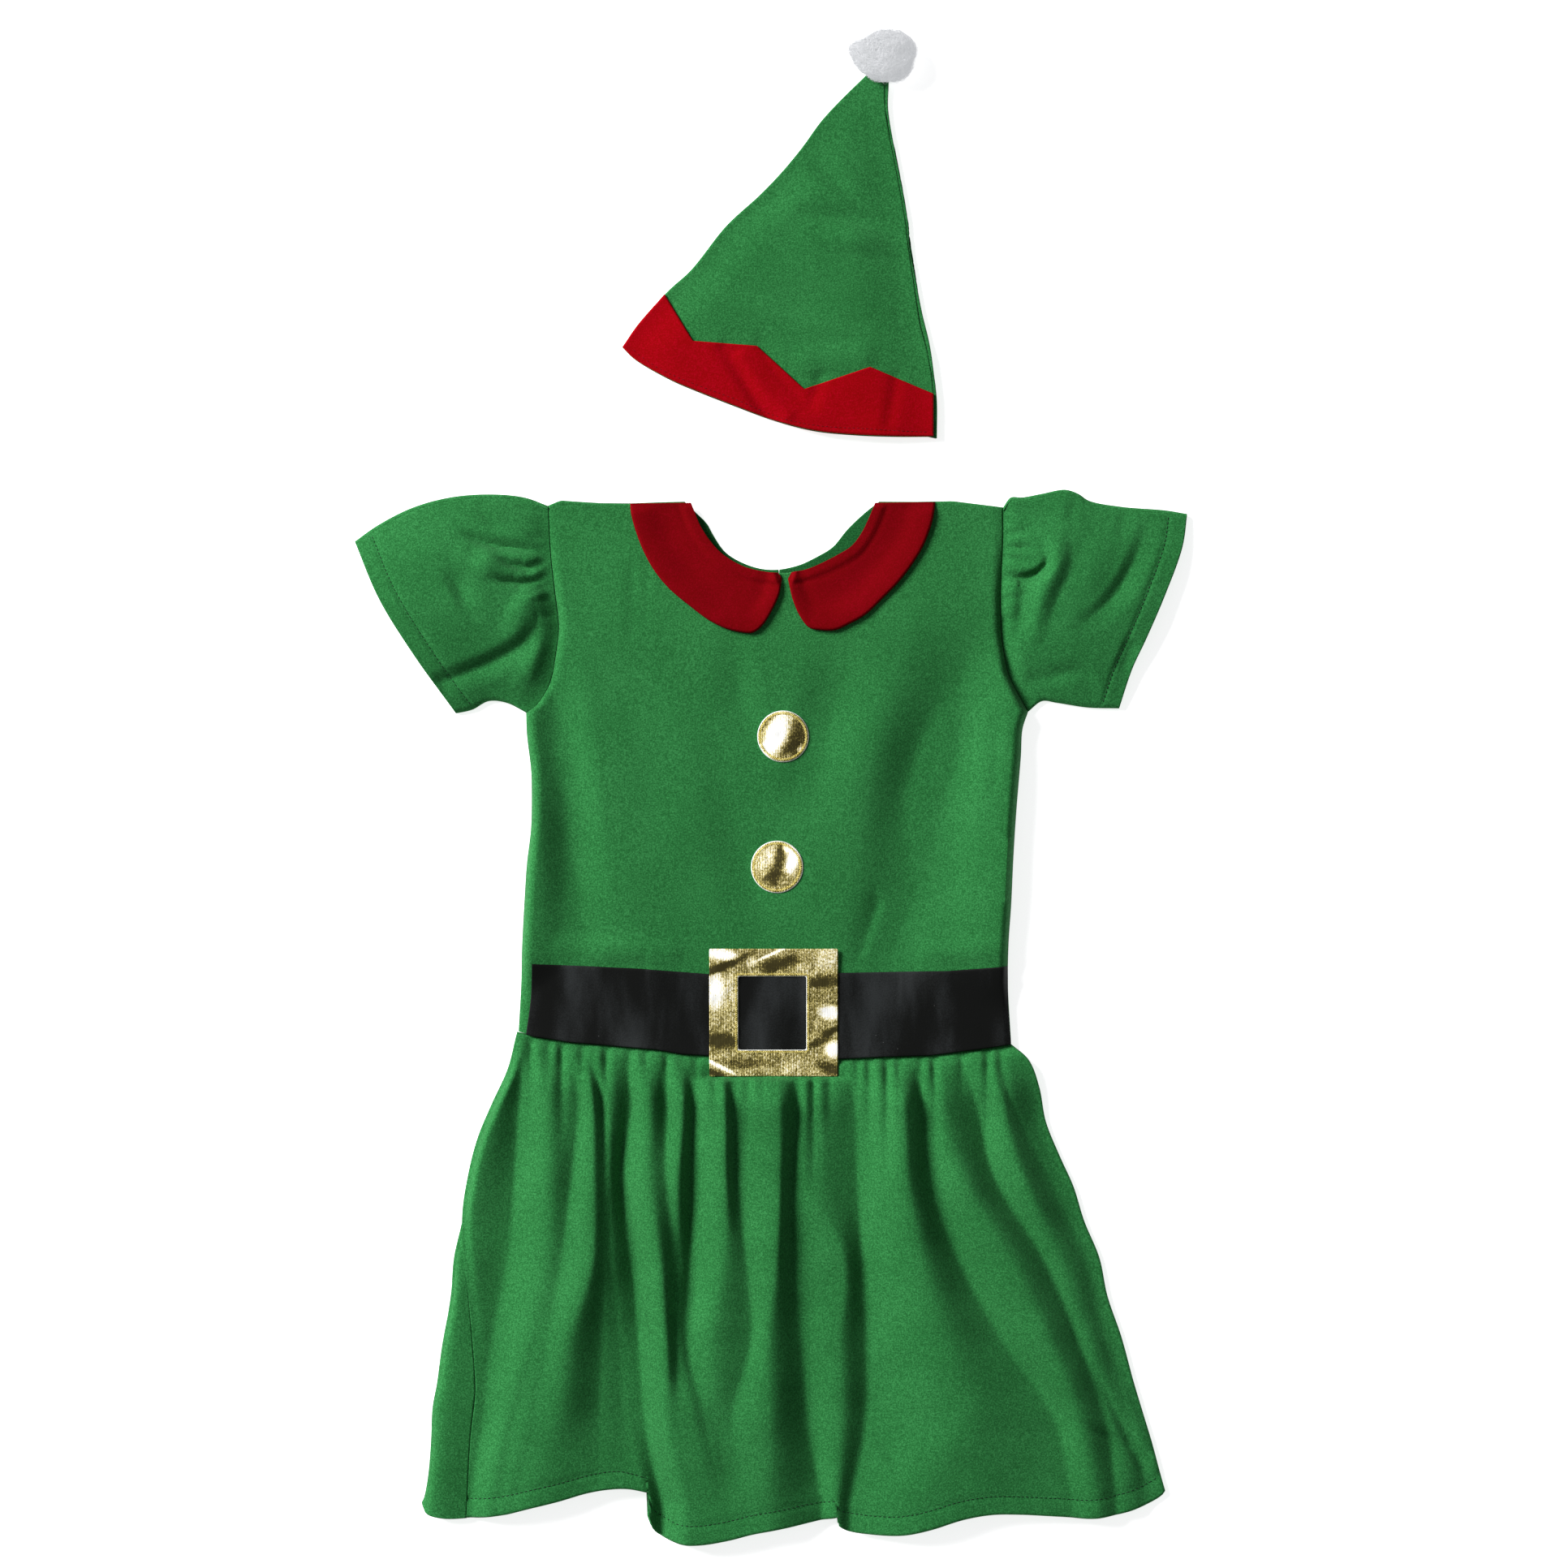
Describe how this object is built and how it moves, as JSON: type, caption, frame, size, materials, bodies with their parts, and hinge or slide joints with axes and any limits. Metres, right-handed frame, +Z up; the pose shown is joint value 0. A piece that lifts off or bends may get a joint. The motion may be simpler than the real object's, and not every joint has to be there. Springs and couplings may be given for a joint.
{
  "type": "elf costume",
  "caption": "Child's elf costume laid flat: green puff-sleeved dress with a red collar, belt with a square buckle and a gathered skirt, and a pointed hat with a zigzag band and pompom.",
  "frame": {"origin": "centre of the bounding box in plan, on the surface that the costume lies on", "axes": "+X to the right and +Y towards the tip of the hat as seen from above, +Z up from the surface"},
  "size_m": [0.5643, 1.0228, 0.0245],
  "materials": {
    "green_fleece": "short brushed nap, matt",
    "red_felt": "short brushed nap, matt",
    "black_band": "smooth weave with a soft sheen",
    "gold_lame": "metallic cloth with fine ribs and small crumples",
    "white_fluff": "loose fluffy fibre"
  },
  "bodies": {
    "root": {"bodice_front": "green_fleece", "bodice_back_left": "green_fleece", "bodice_back_right": "green_fleece", "sleeve_left": "green_fleece", "sleeve_right": "green_fleece", "collar_left": "red_felt", "collar_right": "red_felt", "button_upper": "gold_lame", "button_lower": "gold_lame", "belt": "black_band", "buckle": "gold_lame", "skirt_front": "green_fleece", "skirt_back": "green_fleece", "hat_front": "green_fleece", "hat_back": "green_fleece", "hat_band_front": "red_felt", "hat_band_back": "red_felt", "pompom": "white_fluff"}
  },
  "joints": []
}
